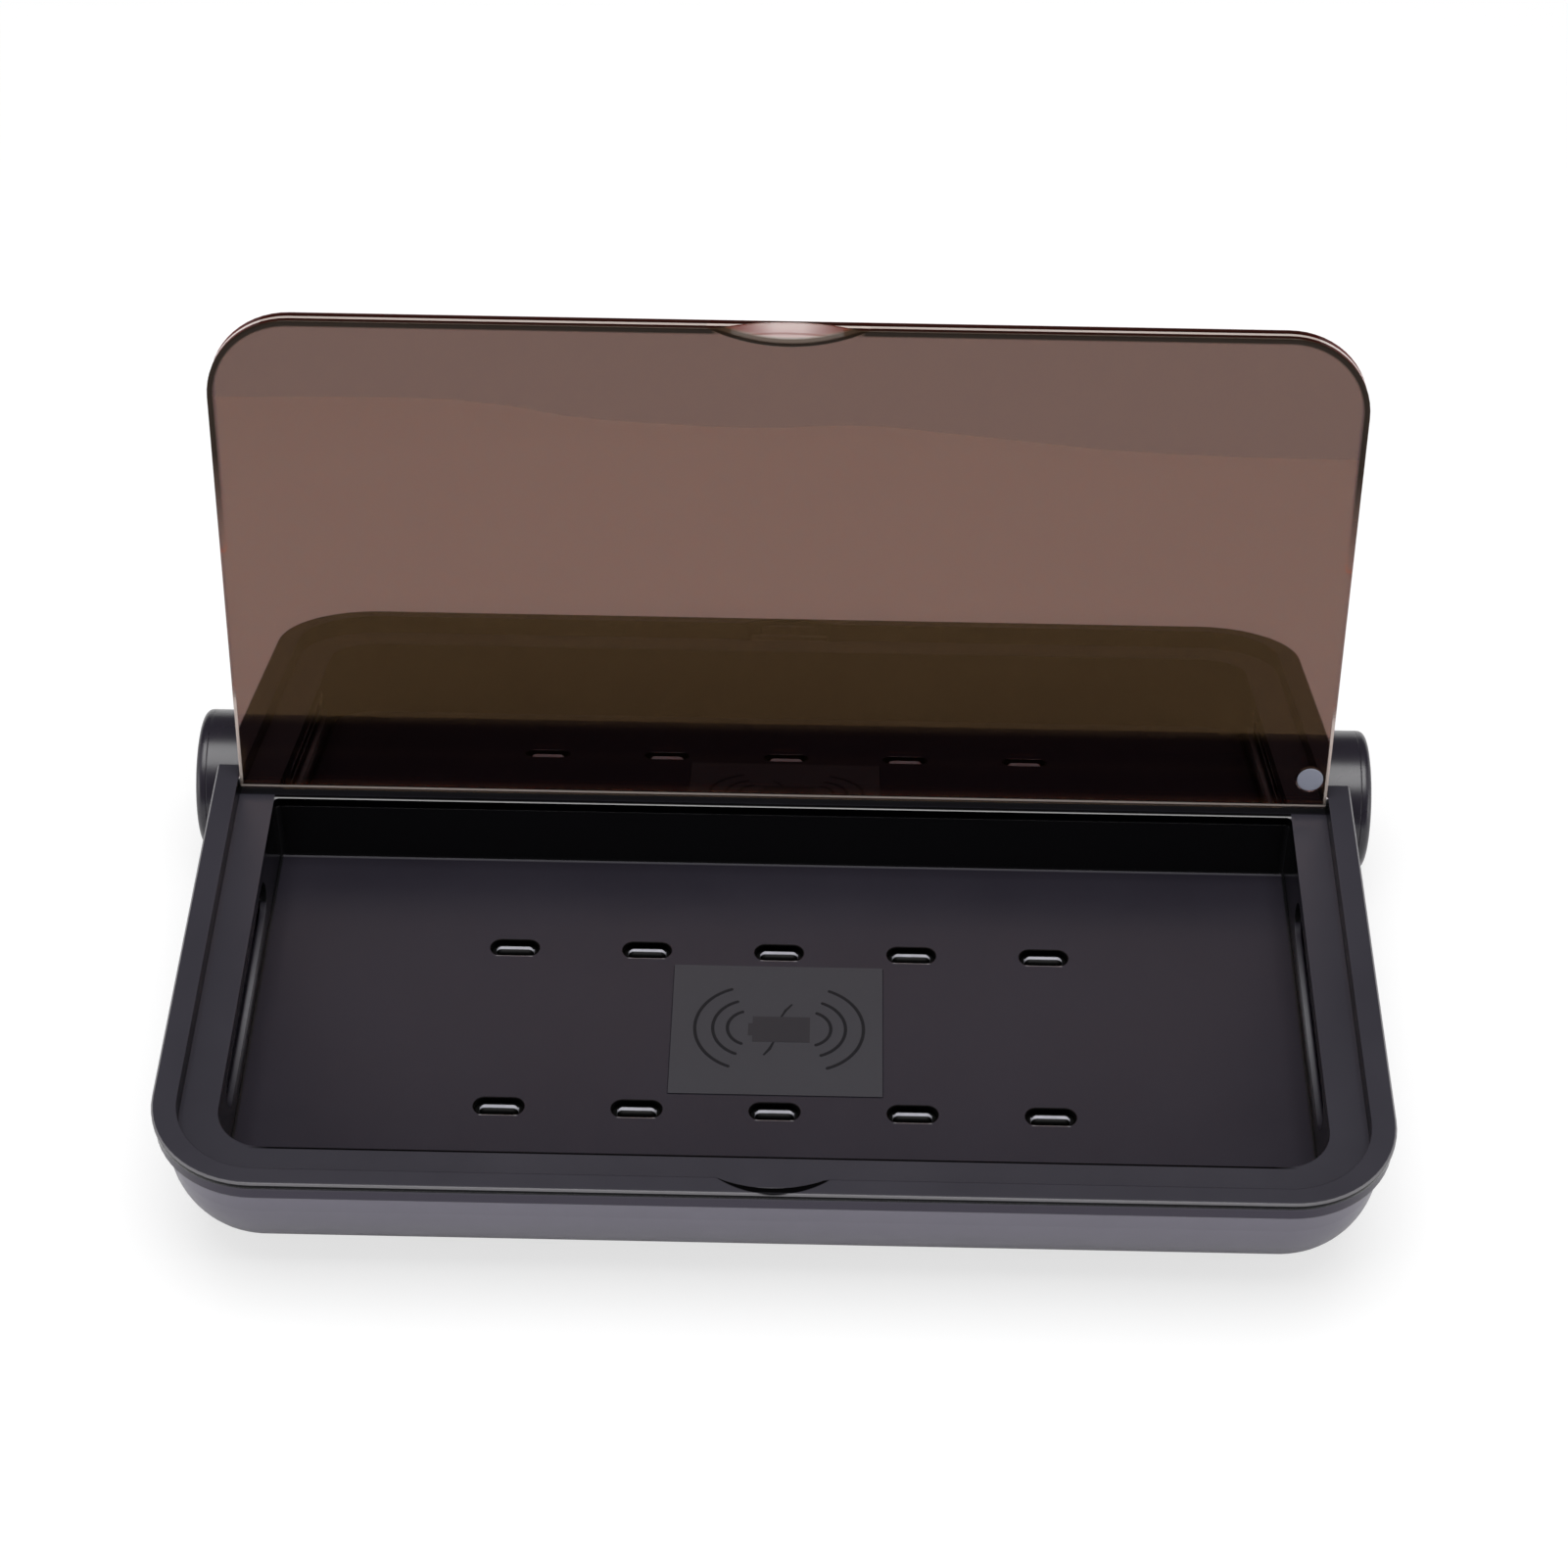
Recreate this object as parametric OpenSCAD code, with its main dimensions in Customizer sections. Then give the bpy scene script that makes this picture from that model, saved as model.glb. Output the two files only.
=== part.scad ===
// Ultraviolet sanitizer box for phones, with a tinted lid and a charging tray.
// Millimetres. Z = 0 is the table, the front faces -Y, and the lid is drawn open.

/* [Phone well] */
// Width of the well, for the longest phone with finger room
well_w = 192.8; // [170:0.2:220]
// Depth of the well from front to back
well_d = 85.9; // [75:0.1:100]
// Depth of the well from the ledge down to the tray floor
well_h = 15.2; // [13:0.1:18]
// Radius of the well's front corners
well_r = 8.5; // [5:0.5:10]
// Radius of the well's rear corners
well_rear_r = 1; // [0.5:0.5:3]

/* [Rim] */
// Width of the ledge beside the well, on which the lid closes
ledge_side = 6.7; // [6:0.1:9]
// Width of the ledge in front of the well
ledge_front = 7.8; // [7:0.1:10]
// Thickness of the ledge plate
ledge_t = 2; // [1.6:0.1:3]
// Width of the raised border at the sides
border_side = 4.4; // [4.4:0.1:6]
// Width of the raised border at the front
border_front = 3.6; // [3.5:0.1:6]
// Radius of the rim's front corners in plan
rim_r = 19.5; // [15:0.5:22]
// Radius of the shell's rear corners in plan
rim_rear_r = 2; // [1:0.5:3]
// Height of the rim's visible edge above the parting groove
edge_h = 1.1; // [0.8:0.1:1.6]
// Bevel along the rim's top edge
edge_bevel = 0.35; // [0.2:0.05:0.6]
// Height of the parting groove
groove_h = 0.4; // [0.3:0.1:0.8]
// Width of the finger notch in the front border
notch_w = 19; // [14:1:26]
// Depth of the finger notch into the border
notch_d = 2.2; // [1.2:0.1:2.4]
// Depth of the finger notch below the ledge
notch_dish = 0.7; // [0.3:0.1:1.2]
// Reach of the finger notch into the ledge
notch_run = 0.8; // [0.4:0.1:3]

/* [Lid] */
// Thickness of the lid panel
lid_t = 3.5; // [3.2:0.1:4.4]
// Gap between the lid's edge and the border
lid_gap = 0.3; // [0.2:0.05:0.6]
// Gap between the closed lid and the ledge
lid_seat_gap = 0.15; // [0.1:0.05:0.4]
// Gap between the lid's round rear edge and the tray's rear wall
hinge_gap = 0.35; // [0.3:0.05:0.8]
// Lean of the open lid behind the vertical, in degrees
lid_lean = 11.1; // [5:0.1:20]
// Width of the thumb scoop in the lid's front edge
scoop_w = 25.8; // [18:0.2:32]
// Reach of the thumb scoop along the lid's underside
scoop_d = 2.7; // [1.5:0.1:4]
// Thickness left at the lid's front edge in the scoop
scoop_land = 0.3; // [0.2:0.1:1]
// Diameter of the lid's interlock magnet
magnet_d = 4.9; // [3:0.1:5.5]
// Thickness of the lid's interlock magnet
magnet_t = 1.4; // [1:0.1:1.8]
// Distance of the magnet from the lid's rear edge
magnet_back = 7.3; // [6:0.1:10]
// Distance of the magnet from the lid's side edge
magnet_side = 3.5; // [3.2:0.1:4]

/* [Hinge pins] */
// Diameter of the hinge pins
pin_d = 2; // [1.5:0.1:2.2]
// Length of each pin inside the lid
pin_in_lid = 8; // [5:0.5:14]
// Length of each pin inside the rim's side
pin_in_rim = 1.7; // [1.2:0.1:1.7]
// Running clearance round a pin, on the radius
pin_run = 0.05; // [0.03:0.01:0.08]

/* [Lower shell] */
// Wall thickness of the lower shell
shell_t = 1.8; // [1.4:0.1:2]
// Set-back of the shell's top band from the rim's edge
band_in = 0.3; // [0.2:0.05:0.5]
// Height of the shell's top band
band_h = 2.5; // [2.4:0.1:3]
// Thickness of the band's underside
band_floor = 0.9; // [0.7:0.1:1]
// Set-back of the bowl below the band
bowl_in = 1.7; // [1.2:0.1:1.9]
// Radius of the bowl's rounded underside
bowl_r = 17.5; // [16:0.5:19]
// Thickness of the bowl's wall where the ledge plate stands inside it
seat_wall = 0.85; // [0.7:0.05:1]
// Thickness of the rear wall that the barrel nests in
rear_wall = 4; // [3.6:0.1:6]
// Height of the bay for electronics under the tray
bay_h = 4.7; // [4.6:0.1:8]
// Clearance between the tray and the bowl's inside
bowl_gap = 0.3; // [0.2:0.05:0.4]
// Fitting clearance between moulded pieces
fit_gap = 0.15; // [0.1:0.05:0.3]
// Clearance between pieces that are pressed or seated together
press_gap = 0.05; // [0.03:0.01:0.1]

/* [Feet and screws] */
// Diameter of each rubber foot
foot_d = 12; // [8:0.5:14]
// Height that a foot stands below the shell
foot_h = 3; // [2:0.1:5]
// Depth of a foot's seat in the shell
foot_seat = 0.8; // [0.5:0.1:1]
// Distance between the feet from left to right
foot_x = 156; // [130:1:160]
// Distance of the front feet from the front edge
foot_front = 33; // [30:1:40]
// Distance between the front and rear feet
foot_y = 56; // [45:1:58]
// Diameter of the screws' shanks
screw_d = 2.2; // [1.8:0.1:2.6]
// Diameter of the screws' heads
screw_head_d = 4.4; // [4:0.1:5]
// Height of the screws' heads
screw_head_h = 1; // [0.8:0.1:1.1]
// Diameter of the screw bosses
boss_d = 6; // [5.4:0.1:6.5]
// Distance between the base screws from left to right
screw_x = 126; // [124:1:134]
// Distance between the barrel screws
barrel_screw_x = 120; // [90:1:150]
// Height of the barrel screws above the shell's underside
barrel_screw_z = 4.2; // [4:0.1:4.6]

/* [Barrel] */
// Diameter of the rear barrel
barrel_d = 27; // [26:0.2:28]
// Length of the rear barrel over its end caps
barrel_l = 225.2; // [216:0.2:240]
// Drop from the rim's top to the barrel's top
barrel_drop = 1; // [0.5:0.1:1.8]
// Wall thickness of the barrel
barrel_wall = 1.8; // [1.5:0.1:2.2]
// Gap between the open lid and the barrel, its stop
stop_gap = 0.3; // [0.2:0.1:1]
// Thickness of the barrel's end caps
cap_t = 2; // [1.6:0.1:3]
// Rounding of the end caps' edges
cap_round = 1.3; // [0.6:0.1:1.5]
// Length of an end cap's spigot inside the barrel
cap_spigot = 4; // [3:0.5:6]

/* [Power button] */
// Diameter of the power button
button_d = 10; // [7:0.5:12]
// Side clearance round the button
button_gap = 0.25; // [0.15:0.05:0.4]
// Travel of the button
button_travel = 0.6; // [0.3:0.1:1]
// Thickness of the button's retaining flange
button_flange_t = 1; // [0.8:0.1:1.5]

/* [Tray] */
// Thickness of the tray's floor
tray_t = 1.6; // [1.4:0.1:2.2]
// Thickness of the tray's side and front walls
tray_wall = 1.2; // [1:0.1:1.5]
// Thickness of the tray's rear wall
tray_rear_wall = 1; // [0.8:0.1:1.4]
// Length of a light slot
slot_l = 8.9; // [7:0.1:10]
// Width of a light slot
slot_w = 3.9; // [3.4:0.1:4.4]
// Number of light slots in a row
slot_n = 5; // [3:1:5]
// Spacing of the light slots along a row
slot_pitch = 24.8; // [20:0.1:26]
// Distance between the two rows of light slots
slot_rows = 39.2; // [39:0.1:46]
// Length of the clear bar in a light slot
bar_l = 7.1; // [5:0.1:7.4]
// Width of the clear bar in a light slot
bar_w = 2.2; // [1.6:0.1:2.4]
// Height of a bar's top below the tray's floor
bar_sink = 0.2; // [0.1:0.05:0.5]
// Width of the charging pad
pad_w = 38.8; // [30:0.2:44]
// Depth of the charging pad
pad_d = 31.6; // [26:0.2:33]
// Thickness of the charging pad
pad_t = 0.7; // [0.5:0.1:1]
// Height that the charging pad stands above the floor
pad_proud = 0.15; // [0.1:0.05:0.3]

/* [Lamps] */
// Diameter of the side lamps' glass tube
lamp_d = 4; // [3:0.1:4.2]
// Length of the side lamps' glass tube
lamp_l = 54; // [46:1:58]
// Length of each metal lamp cap
lamp_cap_l = 4; // [3:0.5:5]
// Height of the lamps' axis above the tray's floor
lamp_up = 8.8; // [7:0.1:9]
// Distance of the lamps' middle in front of the well's middle
lamp_shift = 1.2; // [0:0.1:3]
// Length of a lamp window
window_l = 53; // [40:1:56]
// Height of a lamp window
window_h = 7.6; // [6:0.1:7.8]
// Thickness of the lamps' reflectors
reflector_t = 0.5; // [0.4:0.1:0.8]
// Air gap between a lamp and its reflector
reflector_gap = 0.7; // [0.5:0.1:0.9]

/* [Electronics] */
// Outer diameter of the charging coil
coil_d = 32; // [26:0.5:32]
// Inner diameter of the charging coil
coil_hole_d = 14; // [8:0.5:18]
// Thickness of the charging coil
coil_t = 1.2; // [0.8:0.1:1.4]
// Thickness of the coil's ferrite sheet
ferrite_t = 0.6; // [0.4:0.1:0.8]
// Thickness of the circuit boards
board_t = 1.2; // [0.8:0.1:1.4]
// Length of the main board in the barrel
main_board_l = 150; // [120:1:170]
// Width of the USB-C socket's metal shell
usb_w = 8.94; // [8.9:0.02:9]
// Height of the USB-C socket's metal shell
usb_h = 3.26; // [3.2:0.02:3.3]
// Depth of the USB-C socket's metal shell
usb_l = 7.3; // [6.5:0.1:9]

/* [Hidden] */
$fn = 72;

// A small overlap that lets one cut pass cleanly through a face
eps = 0.01;
// How far a cut runs past the face that it opens
over = 1;
// Long enough to cut through the whole box
far = 400;

// Heights, from the table up
shell_z = foot_h;
bay_z = shell_z + shell_t;
tray_z = bay_z + bay_h;
floor_z = tray_z + tray_t;
ledge_z = floor_z + well_h;
recess_h = lid_t + lid_seat_gap;
rim_z = ledge_z + recess_h;
frame_z = ledge_z - ledge_t;
seat_z = frame_z - fit_gap;
band_z = rim_z - edge_h - groove_h;
band_in_z = band_z - band_h + band_floor;
pivot_z = rim_z - lid_t / 2;
barrel_r = barrel_d / 2;
barrel_z = rim_z - barrel_drop - barrel_r;
lamp_z = floor_z + lamp_up;

// Widths
recess_w = well_w + 2 * ledge_side;
rim_w = recess_w + 2 * border_side;
lid_w = recess_w - 2 * lid_gap;
recess_r = rim_r - (border_side + border_front) / 2;
shell_in = band_in + shell_t;
seat_in = band_in + bowl_in + seat_wall;

// Depths measured back from the rim's front edge
well_front = border_front + ledge_front;
well_rear = well_front + well_d;
trough_front = well_rear + tray_rear_wall;
pivot_u = trough_front + lid_t / 2 + hinge_gap;
rim_d = pivot_u + lid_t / 2 + hinge_gap;
barrel_reach = lid_t / 2 + barrel_r + stop_gap + (barrel_z - pivot_z) * sin(lid_lean);
barrel_u = pivot_u + barrel_reach / cos(lid_lean);
total_d = barrel_u + barrel_r;

// The origin lies at the middle of the whole depth
front_y = -total_d / 2;
well_y = front_y + well_front;
well_mid_y = well_y + well_d / 2;
pivot_y = front_y + pivot_u;
barrel_y = front_y + barrel_u;
rear_y = front_y + rim_d;
shell_rear_in = rim_d - rear_wall;

// Side lamps
lamp_x = well_w / 2 + tray_wall + fit_gap + lamp_d / 2;
lamp_y = well_mid_y - lamp_shift;
holder_end = 1;
holder_l = lamp_cap_l + holder_end;
holder_wall = 0.8;
reflector_r = lamp_d / 2 + reflector_gap + reflector_t;

// Lid
lid_l = pivot_u - border_front - lid_gap;
lid_turn = -(90 + lid_lean);
magnet_x = lid_w / 2 - magnet_side;
magnet_u = lid_t / 2 - magnet_back;
scoop_slope = atan2(lid_t - scoop_land, scoop_d);
scoop_rise = scoop_d * sin(scoop_slope);
scoop_r = (pow(scoop_w / 2, 2) + pow(scoop_rise, 2)) / (2 * scoop_rise);
notch_r = (pow(notch_w / 2, 2) + pow(notch_d, 2)) / (2 * notch_d);

// Barrel and its contents
bore_r = barrel_r - barrel_wall;
tube_l = barrel_l - 2 * cap_t;
board_top_z = barrel_z - usb_h / 2 - press_gap;
board_low_z = board_top_z - board_t;
board_half = sqrt(pow(bore_r, 2) - pow(barrel_z - board_low_z, 2)) - fit_gap;
port_flat = 0.8;
port_margin = 0.2;
port_rim = 2;
port_y = barrel_y + barrel_r - port_flat;
rail_t = 1.1;
rail_w = 2.5;

// Power button and the switch behind it, outward along the barrel
button_flange_out = 1;
flange_x = tube_l / 2 - press_gap;
switch_x = flange_x - button_flange_t - button_travel - fit_gap;
switch_tip_r = 1.6;
switch_tip_l = 1.5;
switch_l = 3;
switch_h = 6;
switch_body_x = switch_x - switch_tip_l - switch_l;
bracket_t = 1.2;

// Parts on the main board, placed from its ends and from the socket
board_end = main_board_l / 2;
driver_l = 24;
driver_w = 12;
driver_h = 6;
driver_end = 21;
driver_x = board_end - driver_end - driver_l;
core_l = 16;
core_w = 15;
core_h = 4;
capacitor_d = 5;
capacitor_h = 6;
capacitor_pitch = 6;
capacitor_in = 15;
package_h = 1.6;
controller_w = 8;
controller_gap = 11.5;
controller_x = -(usb_w / 2 + controller_gap + controller_w / 2);
regulator_w = 5;
regulator_in = 31.5;
regulator_x = -board_end + regulator_in;

// USB-C socket
usb_wall = 0.3;
tongue_w = 6.7;
tongue_t = 0.7;
tongue_back = 1;

// Screws: thread core, cross recess and the room left at the tip
thread_d = screw_d - 2 * fit_gap;
cross_l = 2.6;
cross_w = 0.5;
cross_depth = 0.5;
tip_gap = 0.5;
boss_reach = 5.5;
screw_run_z = shell_z + barrel_screw_z;

// Light slots, bars and chips
slot_run = (slot_n - 1) * slot_pitch;
bar_flange_t = 0.6;
bar_flange_out = 0.8;
stack_gap = 0.1;
led_l = 3.5;
led_w = 2.8;
led_h = 0.7;
strip_w = 6;
strip_z = tray_z - bar_flange_t - stack_gap - led_h - board_t;
rib_w = 1.5;

// Charging stack under the pad
coil_z = tray_z - stack_gap - coil_t;
ferrite_z = coil_z - stack_gap - ferrite_t;
charger_out = 9;
charger_w = coil_d + 2 * charger_out;
charger_gap = 1;
charger_d = slot_rows - strip_w - 2 * charger_gap;

// Lid sensor under the ledge, as near below the closed lid's magnet as the tray's wall allows
sensor_w = 4.6;
sensor_d = 8;
sensor_chip = 3;
sensor_chip_h = 0.7;
sensor_x = well_w / 2 + tray_wall + fit_gap;
sensor_rear = front_y + shell_rear_in - fit_gap;
sensor_top = frame_z - stack_gap;

// Base screws stand between the feet, a little further to the front
screw_ahead = [3, 4];
screw_u = [foot_front - screw_ahead[0], foot_front + foot_y - screw_ahead[1]];
foot_bevel = 0.5;

// Outline of a rounded plate: front corners r, rear corners rr, measured from the front edge
module plate_2d(w, u0, u1, r, rr) {
    for (s = [-1, 1]) {
        translate([s * (w / 2 - r), front_y + u0 + r]) circle(r = r);
        translate([s * (w / 2 - rr), front_y + u1 - rr]) circle(r = rr);
    }
    translate([-w / 2, front_y + u0 + r]) square([w, u1 - u0 - r - rr]);
    translate([-(w / 2 - r), front_y + u0]) square([w - 2 * r, r]);
    translate([-(w / 2 - rr), front_y + u1 - rr]) square([w - 2 * rr, rr]);
}

module plate(w, u0, u1, r, rr, z0, z1) {
    translate([0, 0, z0]) linear_extrude(z1 - z0) plate_2d(w, u0, u1, r, rr);
}

// Section of the bowl from its edge inwards: x is the distance in from the rim's edge
module bowl_section(in, top) {
    i0 = band_in + bowl_in + in;
    r = bowl_r - in;
    intersection() {
        translate([i0, shell_z + in]) square([far, top - shell_z - in]);
        union() {
            translate([i0 + r, shell_z + in + r]) circle(r = r);
            translate([i0 + r, shell_z + in]) square([far, top]);
            translate([i0, shell_z + in + r]) square([far, top]);
        }
    }
}

// Section of the rim's visible edge, bevelled at the top
module edge_section() {
    polygon([[0, rim_z - edge_h], [0, rim_z - edge_bevel], [edge_bevel, rim_z],
             [far, rim_z], [far, rim_z - edge_h]]);
}

// Carries a section round the front and both sides, with round front corners
module round_the_rim(rear) {
    half = rim_w / 2;
    intersection() {
        translate([-half, 0, 0]) rotate([90, 0, 90]) linear_extrude(rim_w)
            translate([front_y, 0]) intersection() {
                children();
                square([rear, far]);
            }
        translate([0, far / 2, 0]) rotate([90, 0, 0]) linear_extrude(far)
            intersection() {
                translate([-half, 0]) children();
                mirror([1, 0]) translate([-half, 0]) children();
            }
        union() {
            translate([-half, front_y + rim_r, 0]) cube([rim_w, far, far]);
            translate([-half + rim_r, front_y, 0]) cube([rim_w - 2 * rim_r, far, far]);
            for (s = [0, 1]) mirror([s, 0, 0])
                translate([half - rim_r, front_y + rim_r, 0]) rotate([0, 0, -90])
                    rotate_extrude(angle = 90) intersection() {
                        square([rim_r, far]);
                        mirror([1, 0]) translate([-rim_r, 0]) children();
                    }
        }
    }
}

module bowl(in, top, rear) {
    round_the_rim(rear) bowl_section(in, top);
}

module x_cylinder(r, x0, x1, y, z) {
    translate([x0, y, z]) rotate([0, 90, 0]) cylinder(r = r, h = x1 - x0);
}

module y_cylinder(r, y0, y1, x, z) {
    translate([x, y1, z]) rotate([90, 0, 0]) cylinder(r = r, h = y1 - y0);
}

// A bar with round ends, lying along X, standing on z = 0
module stadium(l, w, h) {
    for (s = [-1, 1]) translate([s * (l - w) / 2, 0, 0]) cylinder(d = w, h = h);
    translate([-(l - w) / 2, -w / 2, 0]) cube([l - w, w, h]);
}

// Places its child at every light slot, on the given height
module at_slots(z) {
    for (row = [-1, 1]) for (i = [0 : slot_n - 1])
        translate([i * slot_pitch - slot_run / 2, well_mid_y + row * slot_rows / 2, z]) children();
}

module at_base_screws(z) {
    for (sx = [-1, 1]) for (u = screw_u)
        translate([sx * screw_x / 2, front_y + u, z]) children();
}

module at_feet(z) {
    for (sx = [-1, 1]) for (u = [foot_front, foot_front + foot_y])
        translate([sx * foot_x / 2, front_y + u, z]) children();
}

module lower_shell() {
    color([0.27, 0.26, 0.29]) difference() {
        union() {
            bowl(0, band_z, rim_d);
            plate(rim_w - 2 * band_in, band_in, rim_d, rim_r - band_in, rim_rear_r,
                  band_z - band_h, band_z);
            // Inner lip that the rim rests on
            plate(rim_w - 2 * (band_in + shell_t / 2), band_in + shell_t / 2, rim_d,
                  rim_r - band_in - shell_t / 2, rim_rear_r, band_z - band_h / 2,
                  band_z + groove_h);
        }
        difference() {
            union() {
                bowl(shell_t, rim_z, shell_rear_in);
                plate(rim_w - 2 * seat_in, seat_in, shell_rear_in, rim_r - seat_in,
                      rim_rear_r, seat_z, rim_z);
                plate(rim_w - 2 * shell_in, shell_in, shell_rear_in, rim_r - shell_in,
                      rim_rear_r, band_in_z, rim_z);
            }
            shell_ribs();
        }
        // Room for the ledge plate and the rim's skirt, which close the top of the rear wall
        for (step = [[seat_in, seat_z], [shell_in, band_in_z]])
            translate([-rim_w / 2 + step[0], front_y + shell_rear_in - 2 * rim_rear_r, step[1]])
                cube([rim_w - 2 * step[0], far, far]);
        // Saddle for the barrel
        x_cylinder(barrel_r + press_gap, -far / 2, far / 2, barrel_y, barrel_z);
        // Seats for the feet, and counterbored holes for the base screws
        at_feet(shell_z - over) cylinder(d = foot_d, h = foot_seat + over);
        at_base_screws(shell_z - over) {
            cylinder(d = screw_head_d + 2 * fit_gap, h = over + screw_head_h + fit_gap);
            cylinder(d = screw_d + 2 * fit_gap, h = shell_t + 2 * over);
        }
        // Holes in the rear wall for the barrel screws
        for (s = [-1, 1])
            y_cylinder(screw_d / 2 + fit_gap, front_y + shell_rear_in - over, rear_y + over,
                       s * barrel_screw_x / 2, screw_run_z);
    }
}

// Ribs on the shell's floor that carry the light strips
module shell_ribs() {
    for (row = [-1, 1])
        translate([-slot_run / 2, well_mid_y + row * slot_rows / 2 - rib_w / 2, bay_z - over])
            cube([slot_run, rib_w, over + strip_z - stack_gap - bay_z]);
}

// Rim with its skirt inside the shell, and the ledge plate round the well
module top_frame() {
    skirt_in = shell_in + fit_gap;
    ledge_in = seat_in + fit_gap;
    color([0.24, 0.23, 0.26]) difference() {
        union() {
            round_the_rim(rim_d) edge_section();
            plate(rim_w - 2 * skirt_in, skirt_in, rim_d, rim_r - skirt_in, rim_rear_r / 2,
                  band_in_z + fit_gap, rim_z - edge_bevel);
            plate(rim_w - 2 * ledge_in, ledge_in, rim_d, rim_r - ledge_in, rim_rear_r / 2,
                  frame_z, band_z);
        }
        // Recess for the lid, open at the rear
        plate(recess_w, border_front, far, recess_r, rim_rear_r, ledge_z, rim_z + over);
        // The well
        plate(well_w, well_front, well_rear, well_r, well_rear_r, frame_z - over, rim_z);
        // Trough behind the well, under the lid's rear edge
        translate([-recess_w / 2, front_y + trough_front, frame_z + ledge_t / 2])
            cube([recess_w, far, far]);
        // Finger notch, which runs a little way into the ledge
        translate([0, front_y + border_front - notch_d + notch_r, ledge_z - notch_dish])
            intersection() {
                cylinder(r = notch_r, h = far, $fn = 180);
                translate([-notch_w, -notch_r, 0]) cube([2 * notch_w, notch_d + notch_run, far]);
            }
        // Bores for the hinge pins
        for (s = [0, 1]) mirror([s, 0, 0])
            x_cylinder(pin_d / 2 + pin_run, recess_w / 2 - over,
                       recess_w / 2 + pin_in_rim + 2 * pin_run, pivot_y, pivot_z);
    }
}

module tray() {
    color([0.2, 0.19, 0.22]) difference() {
        union() {
            intersection() {
                plate(well_w + 2 * tray_wall, well_front - tray_wall,
                      well_rear + tray_rear_wall, well_r + tray_wall,
                      well_rear_r + tray_rear_wall, tray_z, frame_z);
                bowl(shell_t + bowl_gap, rim_z, rim_d);
            }
            at_base_screws(bay_z) cylinder(d = boss_d, h = bay_h + eps);
        }
        plate(well_w, well_front, well_rear, well_r, well_rear_r, floor_z, rim_z);
        at_slots(tray_z - over) stadium(slot_l, slot_w, tray_t + 2 * over);
        // Seat for the charging pad
        translate([-pad_w / 2 - press_gap, well_mid_y - pad_d / 2 - press_gap,
                   floor_z - pad_t + pad_proud])
            cube([pad_w + 2 * press_gap, pad_d + 2 * press_gap, pad_t]);
        at_base_screws(bay_z - over) cylinder(d = thread_d, h = over + bay_h);
        // Windows for the side lamps
        for (s = [-1, 1]) translate([s * lamp_x, lamp_y, lamp_z])
            rotate([0, 90, 0]) rotate([0, 0, 90]) translate([0, 0, -lamp_d])
                stadium(window_l, window_h, 2 * lamp_d);
    }
}

module charge_pad() {
    color([0.27, 0.26, 0.28])
        translate([-pad_w / 2, well_mid_y - pad_d / 2, floor_z - pad_t + pad_proud])
            cube([pad_w, pad_d, pad_t]);
}

// Clear bars that carry the light of the chips up through the slots
module light_bars() {
    round_z = tray_t - bar_sink - bar_w / 2;
    color([0.72, 0.71, 0.76]) at_slots(tray_z) {
        translate([0, 0, -bar_flange_t])
            stadium(slot_l + 2 * bar_flange_out, slot_w + 2 * bar_flange_out, bar_flange_t);
        translate([0, 0, -eps]) stadium(bar_l, bar_w, round_z + eps);
        // Rounded top, of which the lower half ends inside the flange
        intersection() {
            translate([-bar_l, -bar_w, -bar_flange_t / 2]) cube([2 * bar_l, 2 * bar_w, 2 * tray_t]);
            translate([0, 0, round_z]) {
                for (s = [-1, 1]) translate([s * (bar_l - bar_w) / 2, 0, 0]) sphere(d = bar_w);
                x_cylinder(bar_w / 2, -(bar_l - bar_w) / 2, (bar_l - bar_w) / 2, 0, 0);
            }
        }
    }
}

module led_strips() {
    color([0.1, 0.32, 0.2]) for (row = [-1, 1])
        translate([-(slot_run + slot_l) / 2,
                   well_mid_y + row * slot_rows / 2 - strip_w / 2, strip_z])
            cube([slot_run + slot_l, strip_w, board_t]);
}

module led_chips() {
    color([0.93, 0.9, 0.7]) at_slots(strip_z + board_t)
        translate([-led_l / 2, -led_w / 2, 0]) cube([led_l, led_w, led_h]);
}

module charge_coil() {
    color([0.72, 0.45, 0.2]) translate([0, well_mid_y, coil_z]) difference() {
        cylinder(d = coil_d, h = coil_t);
        translate([0, 0, -over]) cylinder(d = coil_hole_d, h = coil_t + 2 * over);
    }
}

module ferrite_sheet() {
    color([0.22, 0.22, 0.23]) translate([-coil_d / 2, well_mid_y - coil_d / 2, ferrite_z])
        cube([coil_d, coil_d, ferrite_t]);
}

module charger_board() {
    color([0.1, 0.32, 0.2])
        translate([-charger_w / 2, well_mid_y - charger_d / 2, ferrite_z - stack_gap - board_t])
            cube([charger_w, charger_d, board_t]);
}

module uv_lamp(s) {
    color([0.82, 0.84, 0.9])
        y_cylinder(lamp_d / 2, lamp_y - lamp_l / 2, lamp_y + lamp_l / 2,
                   s * lamp_x, lamp_z);
}

module lamp_caps(s) {
    color([0.75, 0.75, 0.77]) for (e = [-1, 1])
        translate([0, e * (lamp_l + lamp_cap_l) / 2, 0])
            y_cylinder(lamp_d / 2, lamp_y - lamp_cap_l / 2, lamp_y + lamp_cap_l / 2,
                       s * lamp_x, lamp_z);
}

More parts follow.
